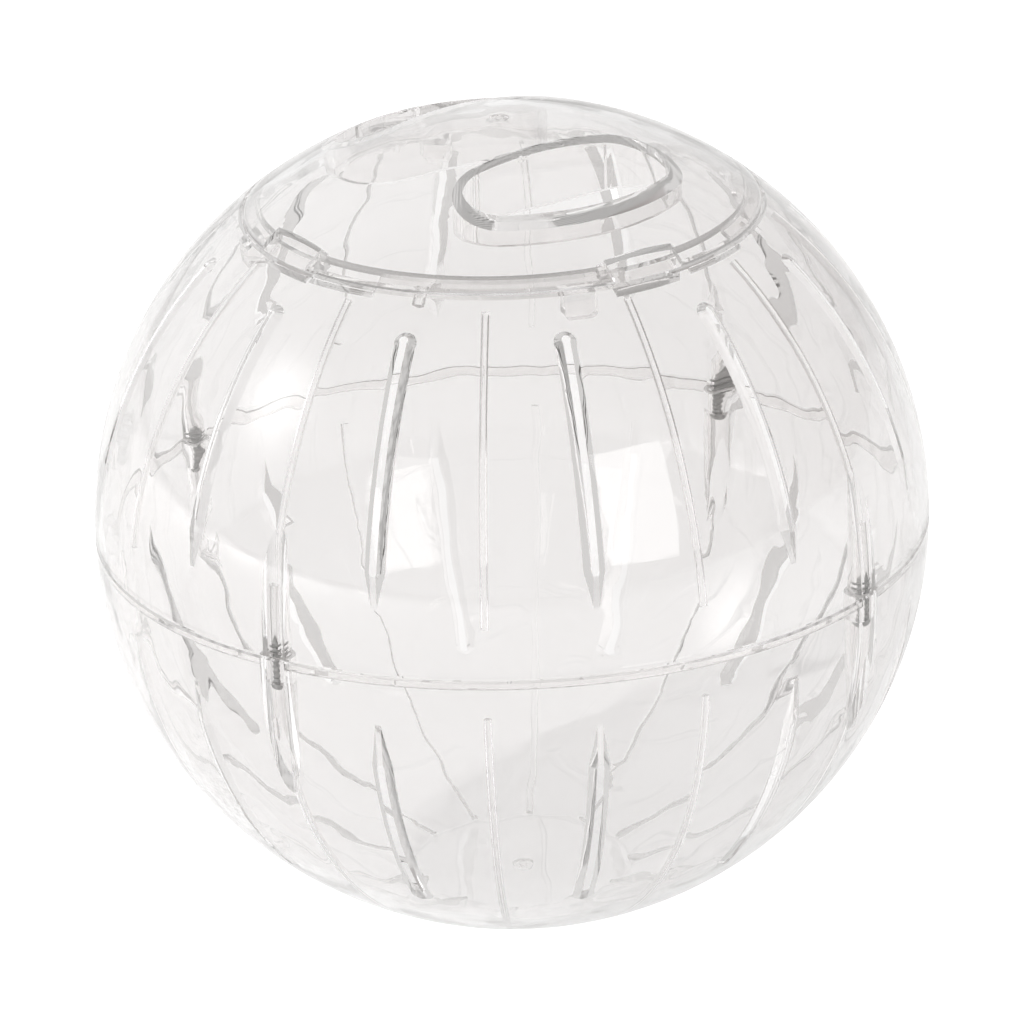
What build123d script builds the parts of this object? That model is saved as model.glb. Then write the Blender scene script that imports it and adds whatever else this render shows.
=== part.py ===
from build123d import *
import math
import os

# A clear hamster ball: two half shells screwed together at the equator, and a flush twist-lock lid.
# Lengths are in millimetres and angles in degrees. Polar angles are measured from a half's own pole.
# The pieces are drawn about the centre of the ball and set down so that the flat base lies on z = 0.

# Ball
ball_radius = 70.0
wall = 1.8
base_radius = 19.0
edge_ease = 0.3
overrun = 0.2

# Seam: a tongue under the upper half stands inside a rebate of the lower one
tongue_height = 1.5
lap_gap = 0.12

# Mouth of the upper half: the inner half of the wall runs on as a ledge, with a stop and a nub under it
mouth_radius = 43.0
ledge_reach = 3.0
stop_width = 5.4
stop_drop = 2.6
stop_setback = 0.6
stop_round = 1.2
nub_radius = 1.0

# Lid
lid_gap = 0.3
slide_gap = 0.3
finger_hole_inset = 12.75
finger_hole_reach = 29.55
finger_hole_end_radius = 6.6
collar_wall = 1.5
collar_depth = 5.3

# Bayonet lugs of the lid: the turn from the locked place to the gaps, and the free turn at each end
lug_count = 4
panel_width = 14.6
panel_thickness = 1.2
notch_width = 13.0
foot_width = 12.0
foot_thickness = 1.2
foot_reach = 2.0
lug_turn = 19.0
stop_play_angle = 4.5
nub_play_angle = 9.5
gap_play_angle = 0.4

# Vent slots and ribs of both halves, and the turn of their pattern from the lid's lugs. A slot begins with a
# round end, wider by the ease, and ends in a groove whose floor slopes through the wall to its foot
slot_count = 12
slot_width = 1.2
slot_inner_width = 3.4
slot_end_ease = 0.12
slot_below_mouth_angle = 7.3
upper_slot_end_angle = 76.1
upper_slot_foot_angle = 81.5
lower_slot_start_angle = 47.1
lower_slot_end_angle = 75.9
lower_slot_foot_angle = 83.2
rib_count = 12
rib_width = 1.2
rib_height = 0.8
rib_setback = 0.4
upper_rib_end_angle = 83.1
lower_rib_end_angle = 84.0
pattern_turn = 22.9

# Screws and the bosses that hold them
screw_count = 4
screw_inset = 1.0
thread_radius = 1.1
core_radius = 0.85
screw_length = 8.0
screw_tip = 1.2
head_radius = 1.8
head_height = 1.3
pilot_gap = 0.05
pilot_depth = 12.0
thread_gap = 0.15
head_gap = 0.2
boss_wall = 1.4
channel_wall = 0.9
seat_thickness = 4.6

# Moulding gate marks
gate_radius = 1.6
gate_depth = 0.5
gate_stub_radius = 0.6
gate_stub_height = 0.3

inner_radius = ball_radius - wall
middle_radius = ball_radius - wall / 2
root_radius = ball_radius - wall / 4
base_depth = math.sqrt(ball_radius**2 - base_radius**2)
lid_radius = mouth_radius - lid_gap
ledge_radius = mouth_radius - ledge_reach
ledge_top = middle_radius - slide_gap / 2
lid_rim_bottom = middle_radius + slide_gap / 2
lug_top = inner_radius - slide_gap
lug_bottom = lug_top - foot_thickness
lug_radius = ledge_radius + foot_reach
lug_face = math.sqrt((ledge_radius - lid_gap) ** 2 - (panel_width / 2) ** 2)
lug_angles = [360 / lug_count * i for i in range(lug_count)]
finger_hole_angles = (0, 180)
screw_circle = inner_radius - screw_inset
screw_angles = [pattern_turn + 360 / screw_count * i for i in range(screw_count)]
rib_angles = [pattern_turn + 360 / rib_count * i for i in range(rib_count)]
slot_angles = [pattern_turn + 360 / slot_count * (i + 1 / 2) for i in range(slot_count)]
channel_radius = head_radius + head_gap
post_radius = channel_radius + channel_wall


def at_reach(radius, reach):
    """Polar angle of the point of a sphere that lies at a given reach from the axis."""
    return math.degrees(math.asin(reach / radius))


def at_height(radius, height):
    """Polar angle of the point of a sphere that lies at a given height above the equator."""
    return math.degrees(math.acos(height / radius))


def turn_of(side, reach):
    """Turn about the axis from +X to a point that lies at a given reach and to one side by so much."""
    return math.degrees(math.asin(side / reach))


def height_of(radius, reach):
    """Height of a sphere above the equator at a given reach from the axis."""
    return math.sqrt(radius**2 - reach**2)


def on_sphere(radius, angle):
    """Point of a half section, as reach and height, on a sphere at a polar angle."""
    return (radius * math.sin(math.radians(angle)), radius * math.cos(math.radians(angle)))


def sphere_arc(radius, start, end):
    """Arc of a half section about the centre of the ball, between two polar angles."""
    middle = (start + end) / 2
    return ThreePointArc(on_sphere(radius, start), on_sphere(radius, middle), on_sphere(radius, end))


def turned_section(*runs, turn=360):
    """Solid turned from a half section: arcs and corner points in order, joined by straight lines."""
    arcs = [run for run in runs if not isinstance(run, tuple)]
    starts = [run if isinstance(run, tuple) else run @ 0 for run in runs]
    ends = [run if isinstance(run, tuple) else run @ 1 for run in runs]
    joins = [Line(end, start) for end, start in zip(ends, starts[1:] + starts[:1])]
    return revolve(Plane.XZ * make_face(arcs + joins), Axis.Z, turn)


def ring_sector(outer, inner, near, far, turn):
    """Sector of the layer between two spheres, from a near to a far reach, turned from +X."""
    roof = sphere_arc(outer, at_reach(outer, near), at_reach(outer, far))
    floor = sphere_arc(inner, at_reach(inner, far), at_reach(inner, near))
    return turned_section(roof, floor, turn=turn)


def turned(shape, angles):
    """Copies of a shape at each angle about the ball's axis."""
    return [Rot(0, 0, angle) * shape for angle in angles]


def along_meridian(section, start, end):
    """Carries a section, drawn where the equator crosses +X, between two polar angles."""
    return revolve(Rot(0, start - 90, 0) * section, Axis.Y, end - start)


def spherical_layer(outer, inner):
    """The space between two spheres about the centre."""
    return Sphere(outer) - Sphere(inner)


def standing_cylinder(radius, bottom, top):
    """Upright cylinder about the axis between two heights."""
    return Pos(0, 0, bottom) * Cylinder(radius, top - bottom, align=(Align.CENTER, Align.CENTER, Align.MIN))


def standing_block(near, far, width, bottom, top):
    """Upright block across +X between two reaches and two heights."""
    block = Box(far - near, width, top - bottom, align=(Align.MIN, Align.CENTER, Align.MIN))
    return Pos(near, 0, bottom) * block


def at_screw(shape):
    """Copies of an upright shape at each screw."""
    return turned(Pos(screw_circle, 0, 0) * shape, screw_angles)


def slot_cutter(start, end, foot):
    """Vent slot of an upper half, across +X: flared towards the inside, round at the top, and running
    out at the bottom as a groove that slopes straight out of the wall."""
    flare = (slot_inner_width - slot_width) / 2 / wall
    narrow = slot_width / 2 - flare * overrun
    wide = slot_inner_width / 2 + flare * overrun
    inside = inner_radius - overrun
    outside = ball_radius + overrun
    section = make_face(
        Polyline((inside, -wide), (outside, -narrow), (outside, narrow), (inside, wide), close=True)
    )
    end_outline = Polyline(
        (inside, 0), (outside, 0), (outside, narrow + slot_end_ease), (inside, wide + slot_end_ease), close=True
    )
    round_end = Rot(0, start - 90, 0) * revolve(make_face(end_outline), Axis.X)
    slot = along_meridian(section, start, end)
    floor_top = on_sphere(outside, end)
    floor_foot = on_sphere(inside, foot)
    slope = (floor_foot[0] - floor_top[0], 0, floor_foot[1] - floor_top[1])
    groove = extrude(Rot(0, end - 90, 0) * section, math.dist(floor_top, floor_foot), dir=slope)
    return slot + round_end + groove


def ribs(start, end):
    """Thin ribs with a round crest inside an upper half, for the animal's feet to grip."""
    crest = inner_radius - rib_height + rib_width / 2
    flank = middle_radius - crest
    section = Pos(middle_radius - flank / 2, 0) * Rectangle(flank, rib_width)
    section += Pos(crest, 0) * Circle(rib_width / 2)
    return turned(along_meridian(section, start, end), rib_angles)


def gate_mark():
    """Dimple of a moulding gate, with the stub of the sprue left in it, below z = 0."""
    dimple = standing_cylinder(gate_radius, -gate_depth, overrun)
    return dimple - standing_cylinder(gate_stub_radius, -gate_depth, gate_stub_height - gate_depth)


def make_upper_shell():
    """Upper half: wall, seam tongue and ledge in one turned section, then ribs, bosses, gaps and stops."""
    mouth_corner = (mouth_radius, height_of(ball_radius, mouth_radius) - edge_ease)
    outer_arc = sphere_arc(
        ball_radius, at_reach(ball_radius, mouth_radius + edge_ease), at_height(ball_radius, edge_ease)
    )
    seam_corner = (ball_radius - edge_ease, 0)
    tongue_radius = middle_radius - lap_gap
    tongue = [(tongue_radius, 0), (tongue_radius, -tongue_height), (inner_radius, -tongue_height)]
    inner_arc = sphere_arc(inner_radius, at_height(inner_radius, 0), at_reach(inner_radius, ledge_radius))
    ledge_arc = sphere_arc(ledge_top, at_reach(ledge_top, ledge_radius), at_reach(ledge_top, mouth_radius))
    shell = turned_section(outer_arc, seam_corner, *tongue, inner_arc, ledge_arc, mouth_corner)

    slot_start = at_reach(ball_radius, mouth_radius) + slot_below_mouth_angle
    cutter = slot_cutter(slot_start, upper_slot_end_angle, upper_slot_foot_angle)
    shell -= turned(cutter, slot_angles)
    rib_top = at_reach(inner_radius - rib_height, mouth_radius + rib_setback)
    shell += ribs(rib_top, upper_rib_end_angle)

    pilot_radius = core_radius + pilot_gap
    shell -= at_screw(standing_cylinder(post_radius + lap_gap, -tongue_height - overrun, 0))
    boss = standing_cylinder(pilot_radius + boss_wall, 0, ball_radius)
    shell += [boss & Sphere(root_radius) for boss in at_screw(boss)]
    shell -= at_screw(standing_cylinder(pilot_radius, -overrun, pilot_depth))

    lug_half_turn = turn_of(foot_width / 2, ledge_radius)
    gap_turn = lug_half_turn + gap_play_angle
    gap = ring_sector(middle_radius, lug_top, ledge_radius - lid_gap, mouth_radius + lid_gap / 2, 2 * gap_turn)
    shell -= turned(gap, [angle + lug_turn - gap_turn for angle in lug_angles])

    stop_near = ledge_radius + stop_setback
    stop_far = mouth_radius + lid_gap
    stop_bottom = height_of(inner_radius - stop_drop, mouth_radius)
    stop = standing_block(stop_near, stop_far, stop_width, stop_bottom, ball_radius)
    stop = fillet(stop.edges().filter_by(Axis.X).group_by(Axis.Z)[0], stop_round)
    nub_section = Pos(inner_radius, 0) * Circle(nub_radius)
    nub = along_meridian(nub_section, at_reach(inner_radius, stop_near), at_reach(inner_radius, stop_far))
    ledge_middle = Sphere((inner_radius + ledge_top) / 2)
    stop_turn = lug_half_turn + stop_play_angle + turn_of(stop_width / 2, ledge_radius)
    nub_turn = lug_half_turn + nub_play_angle + turn_of(nub_radius, ledge_radius)
    shell += turned(stop & ledge_middle, [angle - stop_turn for angle in lug_angles])
    shell += turned(nub & ledge_middle, [angle + lug_turn + nub_turn for angle in lug_angles])
    return shell


def make_lower_shell():
    """Lower half: wall, flat base and seam rebate in one turned section, then ribs and screw channels."""
    floor_depth = base_depth - wall
    rebate_depth = tongue_height + lap_gap
    outer_arc = sphere_arc(
        ball_radius, at_height(ball_radius, -edge_ease), at_height(ball_radius, -base_depth)
    )
    base = [(0, -base_depth), (0, -floor_depth)]
    inner_arc = sphere_arc(
        inner_radius, at_height(inner_radius, -floor_depth), at_height(inner_radius, -rebate_depth)
    )
    rebate = [(middle_radius, -rebate_depth), (middle_radius, 0)]
    seam_corner = (ball_radius - edge_ease, 0)
    shell = turned_section(outer_arc, *base, inner_arc, *rebate, seam_corner)

    upright_cutter = slot_cutter(lower_slot_start_angle, lower_slot_end_angle, lower_slot_foot_angle)
    shell -= turned(mirror(upright_cutter, Plane.XY), slot_angles)
    lower_ribs = ribs(at_reach(ball_radius, base_radius), lower_rib_end_angle)
    shell += [mirror(rib, Plane.XY) for rib in lower_ribs]

    post = standing_cylinder(post_radius, -ball_radius, 0)
    shell += [post & Sphere(root_radius) for post in at_screw(post)]
    channel = standing_cylinder(channel_radius, -ball_radius, -seat_thickness)
    channel += standing_cylinder(thread_radius + thread_gap, -seat_thickness, overrun)
    shell -= at_screw(channel)
    shell -= Pos(0, 0, -base_depth) * mirror(gate_mark(), Plane.XY)
    return shell


def finger_hole_shape(spread):
    """Half moon on the +Y side: straight towards the middle, concentric with the lid outside, round
    at the ends. The spread is what its outline stands out all round."""
    inset = finger_hole_inset - spread
    reach = finger_hole_reach + spread
    end_radius = finger_hole_end_radius + spread
    end_height = inset + end_radius
    end_side = math.sqrt((reach - end_radius) ** 2 - end_height**2)
    end_angle = math.atan2(end_height, end_side)
    bend_angle = (end_angle - math.pi / 2) / 2
    outer_tip = (reach * math.cos(end_angle), reach * math.sin(end_angle))
    bend = (end_side + end_radius * math.cos(bend_angle), end_height + end_radius * math.sin(bend_angle))
    end_arc = ThreePointArc((end_side, inset), bend, outer_tip)
    outer_arc = ThreePointArc(outer_tip, (0, reach), (-outer_tip[0], outer_tip[1]))
    straight = Line((-end_side, inset), (end_side, inset))
    return make_face([straight, end_arc, outer_arc, mirror(end_arc, Plane.YZ)])


def make_lid():
    """Lid: a cap of the ball's own wall with a half-thick rim, two collared finger holes and four lugs."""
    rim_near = ledge_radius - lid_gap
    outer_arc = sphere_arc(ball_radius, 0, at_reach(ball_radius, lid_radius - edge_ease))
    rim_corner = (lid_radius, height_of(ball_radius, lid_radius) - edge_ease)
    rim_arc = sphere_arc(
        lid_rim_bottom, at_reach(lid_rim_bottom, lid_radius), at_reach(lid_rim_bottom, rim_near)
    )
    inner_arc = sphere_arc(inner_radius, at_reach(inner_radius, rim_near), 0)
    lid = turned_section(outer_arc, rim_corner, rim_arc, inner_arc)

    collar_bottom = height_of(ball_radius, finger_hole_reach) - collar_depth
    collar = extrude(finger_hole_shape(collar_wall), amount=ball_radius)
    collar = Pos(0, 0, collar_bottom) * collar & Sphere(root_radius)
    hole = extrude(finger_hole_shape(0), amount=ball_radius + overrun)
    lid += turned(collar, finger_hole_angles)
    lid -= turned(hole, finger_hole_angles)

    lug_back = lug_face - panel_thickness
    notch = standing_block(lug_face, mouth_radius + overrun, notch_width, 0, ball_radius)
    panel = standing_block(lug_back, lug_face, panel_width, 0, ball_radius)
    foot = standing_block(lug_back, mouth_radius, foot_width, 0, ball_radius)
    foot &= standing_cylinder(lug_radius, 0, ball_radius)
    lug = (panel & spherical_layer(root_radius, lug_bottom)) + (foot & spherical_layer(lug_top, lug_bottom))
    lid -= turned(notch, lug_angles)
    lid += turned(lug, lug_angles)
    lid -= Pos(0, 0, ball_radius) * gate_mark()
    return lid


def make_screw():
    """Pan-head self-tapping screw, driven upwards: head below, core of the shank up through the seat."""
    point = screw_length - seat_thickness
    crown = ThreePointArc(
        (0, -seat_thickness - head_height),
        (head_radius * math.sin(math.pi / 4), -seat_thickness - head_height * math.sin(math.pi / 4)),
        (head_radius, -seat_thickness),
    )
    shank = Polyline(
        (head_radius, -seat_thickness), (core_radius, -seat_thickness), (core_radius, point - screw_tip),
        (0, point), (0, -seat_thickness - head_height),
    )
    return revolve(Plane.XZ * make_face([crown, shank]), Axis.Z)


def make_shell_screws():
    """The four screws, as separate solids of one group."""
    return Compound(children=at_screw(make_screw()))


os.makedirs("parts", exist_ok=True)
pieces = {
    "lower_shell": make_lower_shell(),
    "upper_shell": make_upper_shell(),
    "lid": make_lid(),
    "shell_screws": make_shell_screws(),
}
for name, piece in pieces.items():
    export_step(Pos(0, 0, base_depth) * piece, f"parts/{name}.step")
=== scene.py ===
import math

import bmesh
import bpy
import numpy as np
from mathutils import Matrix, Vector


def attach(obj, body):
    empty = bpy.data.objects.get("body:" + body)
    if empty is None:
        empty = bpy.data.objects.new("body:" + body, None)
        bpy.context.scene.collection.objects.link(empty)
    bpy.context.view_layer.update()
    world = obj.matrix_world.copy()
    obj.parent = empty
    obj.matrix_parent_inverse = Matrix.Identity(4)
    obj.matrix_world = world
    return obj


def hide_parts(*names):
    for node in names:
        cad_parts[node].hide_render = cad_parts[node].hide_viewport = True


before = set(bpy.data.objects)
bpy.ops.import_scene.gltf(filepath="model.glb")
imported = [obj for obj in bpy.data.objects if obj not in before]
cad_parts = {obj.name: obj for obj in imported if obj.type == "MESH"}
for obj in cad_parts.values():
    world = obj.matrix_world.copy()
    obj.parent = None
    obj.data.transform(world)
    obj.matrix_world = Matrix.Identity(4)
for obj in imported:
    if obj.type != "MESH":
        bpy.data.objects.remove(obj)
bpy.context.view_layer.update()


# Lower shell: the bottom half of the ball, injection moulded in clear polystyrene about 1.8 mm thick.
# It stands on its flat base, and its seam rebate, screw channels, slots and ribs come out of one mould.
seam_height = 0.06737
ball_centre = Vector((0, 0, seam_height))
inner_radius = 0.0682


class Flow:
    """A value on its way through a node tree: arithmetic on it adds Math nodes, node() any other node."""

    def __init__(self, tree, socket=None):
        self.tree = tree
        self.socket = socket

    def node(self, kind, inputs, output=0, **settings):
        """Adds a node: its settings first, then the values or links of its sockets."""
        made = self.tree.nodes.new("ShaderNode" + kind)
        for place, (at, colour) in enumerate(settings.pop("stops", [])):
            elements = made.color_ramp.elements
            element = elements[place] if place < len(elements) else elements.new(at)
            element.position = at
            element.color = colour
        for name, value in settings.items():
            setattr(made, name, value)
        for name, value in inputs.items():
            if isinstance(value, Flow):
                self.tree.links.new(value.socket, made.inputs[name])
            else:
                made.inputs[name].default_value = value
        return Flow(self.tree, made.outputs[output] if made.outputs else None)

    def math(self, operation, *others):
        return self.node("Math", dict(enumerate((self, *others))), operation=operation)

    def __add__(self, other):
        return self.math("ADD", other)

    __radd__ = __add__

    def __mul__(self, other):
        return self.math("MULTIPLY", other)

    __rmul__ = __mul__

    def __gt__(self, other):
        return self.math("GREATER_THAN", other)

    def __lt__(self, other):
        return self.math("LESS_THAN", other)


def empty_tree(owner):
    """The node tree of a material or world, with nothing in it."""
    owner.use_nodes = True
    owner.node_tree.nodes.clear()
    return Flow(owner.node_tree)


def clear_plastic():
    """Clear polystyrene: the inner wall keeps slow ripples of the moulding, all else is polished, and
    handling has left hairline scuffs in the gloss. At the last bounce the plastic glows with painted light
    in pale and dark bands by depth, in place of light led on in the wall, and soft light and shadows pass
    straight through."""
    ripple_scale, ripple_depth, face_tolerance = 95.0, 0.00013, 0.00015
    scuff_scale = (900.0, 900.0, 60.0)
    polish, scuff_dulling = 0.01, 0.03
    last_glossy_hit, last_hit = 5, 13
    band_rate = 18000.0
    material = bpy.data.materials.new("clear_plastic_moulded")
    flow = empty_tree(material)
    place = flow.node("TexCoord", {}, "Object")
    radius = flow.node("VectorMath", {0: place, 1: ball_centre}, "Value", operation="DISTANCE")
    ripple = flow.node("TexNoise", {"Vector": place, "Scale": ripple_scale, "Detail": 1.0, "Roughness": 0.4})
    inner_face = radius.math("COMPARE", inner_radius, face_tolerance)
    normal = flow.node("Bump", {"Height": ripple, "Strength": inner_face, "Distance": ripple_depth})
    scuff_stretch = flow.node("Mapping", {"Vector": place, "Scale": scuff_scale})
    scuffs = flow.node("TexNoise", {"Vector": scuff_stretch, "Scale": 1.0, "Detail": 3.0})
    scuff_marks = flow.node("ValToRGB", {"Fac": scuffs}, stops=[(0.62, (0, 0, 0, 1)), (0.75, (1, 1, 1, 1))])
    # Painted glow: past the last glossy turn or the last bounce the plastic emits a tone in pale and dark
    # bands by depth. These are painted light and painted shade lines that stand in for light led on in the
    # wall.
    last_turn = flow.node("LightPath", {}, "Glossy Depth") > last_glossy_hit - 0.5
    last_bounce = flow.node("LightPath", {}, "Ray Depth") > last_hit - 0.5
    painted_glow_bands = (radius * band_rate).math("SINE") * 0.5 + 0.5
    painted_glow_tone = flow.node(
        "ValToRGB", {"Fac": painted_glow_bands}, stops=[(0.2, (0.12, 0.115, 0.11, 1)), (0.6, (0.68, 0.67, 0.66, 1))]
    )
    painted_glow = flow.node(
        "Mix", {0: last_turn.math("MAXIMUM", last_bounce), 6: (0, 0, 0, 1), 7: painted_glow_tone}, 2, data_type="RGBA"
    )
    plastic = flow.node(
        "BsdfPrincipled",
        {
            "Base Color": (0.945, 0.937, 0.934, 1.0),
            "Roughness": polish + scuff_marks * scuff_dulling,
            "IOR": 1.58,
            "Transmission Weight": 1.0,
            "Normal": normal,
            "Emission Color": painted_glow,
            "Emission Strength": 1.0,
        },
    )
    passing = flow.node("BsdfTransparent", {"Color": (0.93, 0.93, 0.93, 1.0)})
    soft_ray = flow.node("LightPath", {}, "Is Shadow Ray") + flow.node("LightPath", {}, "Is Diffuse Ray")
    flow.node("OutputMaterial", {"Surface": flow.node("MixShader", {0: soft_ray, 1: plastic, 2: passing})})
    return material


def wear(node_name, material):
    """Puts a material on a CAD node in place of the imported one."""
    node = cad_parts[node_name]
    node.data.materials.clear()
    node.data.materials.append(material)


plastic = clear_plastic()
wear("lower_shell", plastic)

# Upper shell: the top half of the ball, of the same clear plastic, with the mouth that the lid closes.
# Its tongue stands inside the lower half's rebate, and its four bosses take the screws.
wear("upper_shell", plastic)

# Shell screws: four small self-tapping steel screws with pan heads and cross recesses, zinc plated.
# They come from below through the screw channels, and cut their own thread into the bosses.
seat_below_seam = 0.0046
screw_reach = 0.0672
first_screw_turn = math.radians(22.9)
screw_count = 4


def closed_skin(name, rings):
    """Mesh of like closed skins: rings holds points by skin, ring and place in the ring, from pole to pole.
    The first and the last ring of a skin become one point each, and quads join each ring to the next."""
    skins, rows, columns = rings.shape[:3]
    places = rows * columns
    here = np.arange(places).reshape(rows, columns)
    beside = np.roll(here, -1, axis=1)
    quads = np.stack([here[:-1], here[1:], beside[1:], beside[:-1]], axis=-1).reshape(-1, 4)
    quads = (quads + np.arange(skins)[:, None, None] * places).reshape(-1, 4)
    mesh = bpy.data.meshes.new(name)
    mesh.from_pydata(rings.reshape(-1, 3).tolist(), [], quads.tolist())
    shell = bmesh.new()
    shell.from_mesh(mesh)
    bmesh.ops.remove_doubles(shell, verts=shell.verts, dist=1e-7)
    shell.to_mesh(mesh)
    shell.free()
    mesh.polygons.foreach_set("use_smooth", np.ones(len(mesh.polygons), bool))
    piece = bpy.data.objects.new(name, mesh)
    bpy.context.scene.collection.objects.link(piece)
    return piece


def screw_skin(columns=64):
    """Rings of one screw, seat at z = 0, point up: the shank's radius is the core's plus a sharp ridge that
    climbs one pitch a turn, the head is a rounded disc, and two crossed bars are pressed into its crown."""
    length, point, core, crest, pitch = 0.008, 0.0012, 0.00085, 0.0011, 0.0009
    ridge_half_width, run_out = 0.28, 0.0006
    head_radius, head_height = 0.0018, 0.0013
    bearing_share, swell_share, swell_rate = 0.94, 0.06, 6
    side_fullness, crown_fullness = 0.55, 0.9
    bar_half_width, bar_flank, bar_reach, bar_end, bar_depth = 0.00030, 0.00008, 0.00105, 0.0003, 0.0007
    turn = np.linspace(0, 2 * np.pi, columns, endpoint=False)
    rise = np.linspace(length, 0, 120)[:, None]
    climb = (rise / pitch - turn / (2 * np.pi)) % 1.0
    ridge = np.clip(1 - np.abs(climb - 0.5) / ridge_half_width, 0, 1)
    taper = np.clip((length - rise) / point, 0, 1)
    fade = taper * np.clip(rise / run_out, 0, 1)
    shank_radius = core * taper + (crest - core) * ridge * fade
    under = np.linspace(core, head_radius * bearing_share, 5)[:, None] + 0 * turn
    bow = np.linspace(0, np.pi / 2, 36)[:, None]
    swell = bearing_share + swell_share * np.sin(np.minimum(bow * swell_rate, np.pi / 2))
    crown_radius = head_radius * swell * np.cos(bow) ** side_fullness + 0 * turn
    crown_height = -head_height * np.sin(bow) ** crown_fullness + 0 * turn
    off_bars = np.minimum(np.abs(crown_radius * np.cos(turn)), np.abs(crown_radius * np.sin(turn)))
    across = np.clip((bar_half_width - off_bars) / bar_flank, 0, 1)
    along = np.clip((bar_reach - crown_radius) / bar_end, 0, 1)
    crown_height = crown_height + bar_depth * across * along
    radius = np.concatenate([shank_radius, under, crown_radius])
    height = np.concatenate([rise + 0 * turn, 0 * under, crown_height])
    return np.stack([radius * np.cos(turn), radius * np.sin(turn), height], axis=-1)


def screw_zinc():
    """Zinc plated steel: a grey metal, dull where the plating is thicker and brighter where it is worn."""
    patch_scale, bright_roughness, dulling = 1500.0, 0.22, 0.25
    material = bpy.data.materials.new("screw_zinc_plated")
    flow = empty_tree(material)
    place = flow.node("TexCoord", {}, "Object")
    patches = flow.node("TexNoise", {"Vector": place, "Scale": patch_scale, "Detail": 3.0})
    tone = flow.node(
        "ValToRGB", {"Fac": patches}, stops=[(0.3, (0.30, 0.30, 0.30, 1)), (0.7, (0.48, 0.475, 0.465, 1))]
    )
    roughness = bright_roughness + patches * dulling
    metal = flow.node("BsdfPrincipled", {"Base Color": tone, "Metallic": 1.0, "Roughness": roughness})
    flow.node("OutputMaterial", {"Surface": metal})
    return material


screw_turns = first_screw_turn + 2 * np.pi / screw_count * np.arange(screw_count)
screw_axes = screw_reach * np.stack([np.cos(screw_turns), np.sin(screw_turns), 0 * screw_turns], axis=-1)
screw_axes[:, 2] = seam_height - seat_below_seam
screws = closed_skin("threaded_screws", screw_skin() + screw_axes[:, None, None, :])
screws.data.materials.append(screw_zinc())
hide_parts("shell_screws")
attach(screws, "ball")

# Lid: a clear cap that drops flush into the mouth and is locked by a short turn with two fingers.
# It is moulded in one with its four bayonet lugs and the collars of its finger holes.
wear("lid", plastic)

# Floor and light: a white table that runs on without an edge, before a white backdrop in a pale room that
# is darker and warmer on the right. A small lamp on the left throws the shadow, a round glow in the room on
# the left shows as a round spot in the plastic, and two soft boxes stand left and right of the camera.
view_turn = -33.0
floor_reach, floor_gap = 6.0, 0.0003
spot_azimuth, spot_elevation, spot_width, spot_strength = -118.9, 30.1, math.radians(9.0), 2.6


def towards(azimuth, elevation):
    """Direction from the ball, as azimuth from the front and elevation."""
    a, e = math.radians(azimuth), math.radians(elevation)
    return Vector((math.sin(a) * math.cos(e), -math.cos(a) * math.cos(e), math.sin(e)))


def floor_finish():
    """White table: a matt ground that keeps the shadow, lifted to white where it is seen, also in glass."""
    lift_seen, lift_through = 0.55, 0.2
    material = bpy.data.materials.new("table_white")
    flow = empty_tree(material)
    matt = flow.node("BsdfDiffuse", {"Color": (0.62, 0.62, 0.62, 1.0)})
    seen = flow.node("LightPath", {}, "Is Camera Ray")
    mirrored = flow.node("LightPath", {}, "Is Glossy Ray")
    seen_through = mirrored.math("MAXIMUM", flow.node("LightPath", {}, "Is Transmission Ray"))
    strength = seen * lift_seen + seen_through * lift_through
    lift = flow.node("Emission", {"Color": (1, 1, 1, 1), "Strength": strength})
    flow.node("OutputMaterial", {"Surface": flow.node("AddShader", {0: matt, 1: lift})})
    return material


floor_corners = np.array([(-1, -1, 0), (1, -1, 0), (1, 1, 0), (-1, 1, 0)]) * floor_reach - (0, 0, floor_gap)
floor_mesh = bpy.data.meshes.new("table")
floor_mesh.from_pydata(floor_corners.tolist(), [], [(0, 1, 2, 3)])
floor = bpy.data.objects.new("table", floor_mesh)
bpy.context.scene.collection.objects.link(floor)
floor.data.materials.append(floor_finish())

world = bpy.data.worlds.new("pale_room")
bpy.context.scene.world = world
flow = empty_tree(world)
direction = flow.node("TexCoord", {}, "Generated")


def leaning(way):
    """How far a direction in the room leans towards a way: their dot product, from -1 to 1."""
    return flow.node("VectorMath", {0: direction, 1: way}, "Value", operation="DOT_PRODUCT")


height = flow.node("SeparateXYZ", {"Vector": direction}, "Z")
by_height = flow.node(
    "ValToRGB",
    {"Fac": height * 0.5 + 0.5},
    stops=[
        (0.0, (1, 1, 1, 1)),
        (0.48, (0.9, 0.9, 0.9, 1)),
        (0.85, (0.6, 0.59, 0.58, 1)),
        (1.0, (0.45, 0.44, 0.43, 1)),
    ],
)
behind = leaning(towards(view_turn + 180.0, 0.0))
backdrop = flow.node(
    "ValToRGB", {"Fac": behind * 0.5 + 0.5}, stops=[(0.48, (0, 0, 0, 1)), (0.72, (1, 1, 1, 1))]
)
room = flow.node("Mix", {0: backdrop, 6: by_height, 7: (1, 1, 1, 1)}, 2, data_type="RGBA")
rightness = leaning(towards(view_turn + 90.0, 0.0))
side = flow.node(
    "ValToRGB", {"Fac": rightness * 0.5 + 0.5}, stops=[(0.5, (1, 1, 1, 1)), (1.0, (0.34, 0.31, 0.30, 1))]
)
walls = flow.node("Mix", {0: 1.0, 6: room, 7: side}, 2, data_type="RGBA", blend_type="MULTIPLY")
nearness = leaning(towards(spot_azimuth, spot_elevation))
off_spot = nearness.math("ARCCOSINE") * (1 / spot_width)
spot = (off_spot * off_spot * -1.0).math("EXPONENT")
around = flow.node("Background", {"Color": walls, "Strength": 1.0})
glow = flow.node("Background", {"Color": (1, 1, 1, 1), "Strength": spot * spot_strength})
lit_room = flow.node("AddShader", {0: around, 1: glow})
white = flow.node("Background", {"Color": (1, 1, 1, 1), "Strength": 1.0})
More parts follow.
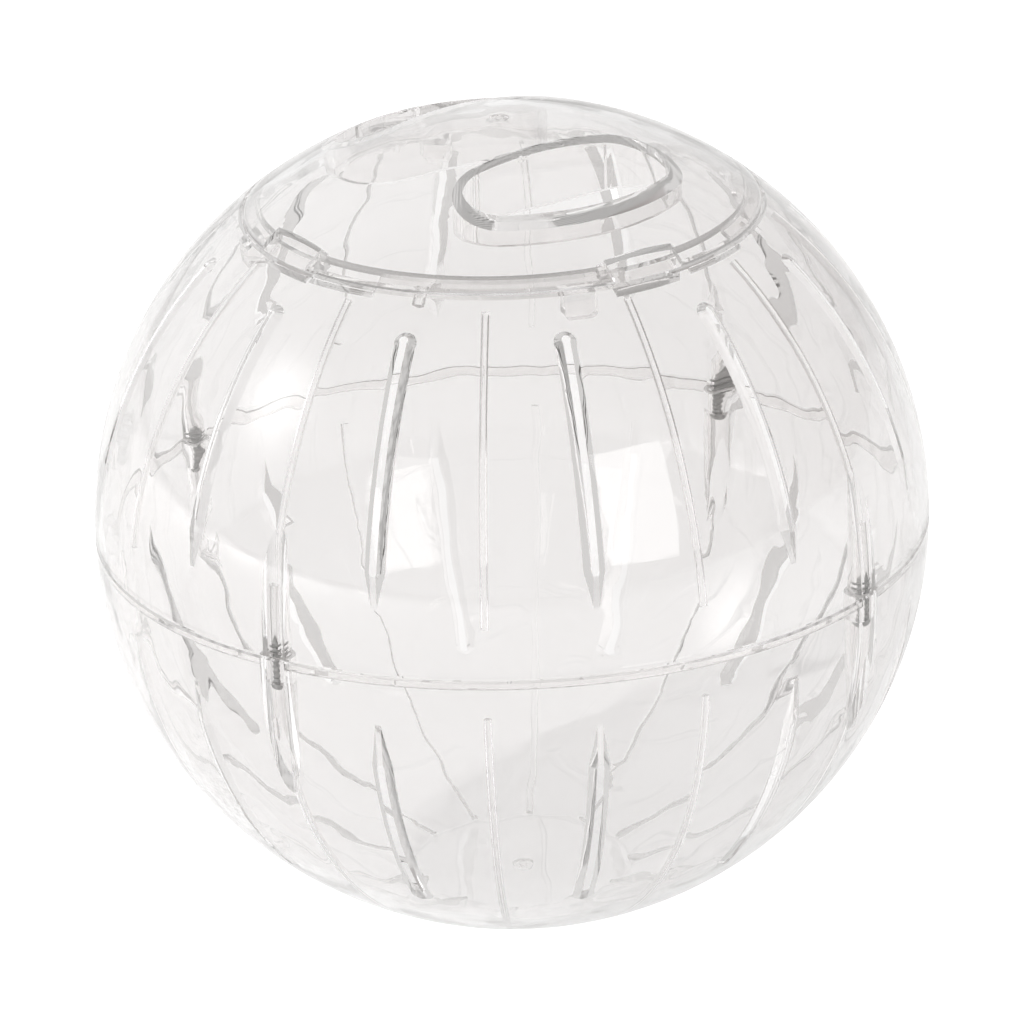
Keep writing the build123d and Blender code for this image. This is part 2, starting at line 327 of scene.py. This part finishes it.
camera_ray = flow.node("LightPath", {}, "Is Camera Ray")
flow.node("OutputWorld", {"Surface": flow.node("MixShader", {0: camera_ray, 1: lit_room, 2: white})})


def soft_box(name, azimuth, elevation, distance, width, height, power, tilt=0.0):
    """Rectangular lamp that faces the ball from a direction, tilted about its own axis."""
    light = bpy.data.lights.new(name, "AREA")
    light.shape = "RECTANGLE"
    light.size = width
    light.size_y = height
    light.energy = power
    lamp = bpy.data.objects.new(name, light)
    bpy.context.scene.collection.objects.link(lamp)
    back = towards(azimuth, elevation)
    facing = back.to_track_quat("Z", "Y").to_matrix() @ Matrix.Rotation(math.radians(tilt), 3, "Z")
    lamp.matrix_world = Matrix.Translation(ball_centre + distance * back) @ facing.to_4x4()
    return lamp


soft_box(
    "soft_box_left", azimuth=-61.7, elevation=20.6, distance=1.2,
    width=0.242, height=0.60, power=0.27, tilt=8.0,
)
soft_box(
    "soft_box_right", azimuth=3.2, elevation=19.5, distance=1.2,
    width=0.39, height=0.62, power=1.25, tilt=-5.0,
)
shadow_lamp = soft_box(
    "shadow_lamp", azimuth=-104.0, elevation=28.0, distance=2.4, width=0.07, height=0.07, power=78.0
)
shadow_lamp.visible_glossy = False
shadow_lamp.visible_transmission = False

# Camera: far off with a long lens, a little above the ball and slightly rolled.
# It looks straight at the ball's centre, so the frame needs no shift.
view_elevation, view_roll, view_distance = 22.5, math.radians(-1.82), 1.0255
back = towards(view_turn, view_elevation)
right = towards(view_turn + 90.0, 0.0)
up = back.cross(right)
turned_right = math.cos(view_roll) * right + math.sin(view_roll) * up
turned_up = math.cos(view_roll) * up - math.sin(view_roll) * right
lens = bpy.data.cameras.new("long_lens")
lens.lens = 214.5
lens.sensor_width = 36.0
camera = bpy.data.objects.new("long_lens", lens)
bpy.context.scene.collection.objects.link(camera)
axes = Matrix((turned_right, turned_up, back)).transposed()
camera.matrix_world = Matrix.Translation(ball_centre + view_distance * back) @ axes.to_4x4()
bpy.context.scene.camera = camera
bpy.context.scene.view_settings.view_transform = "Standard"
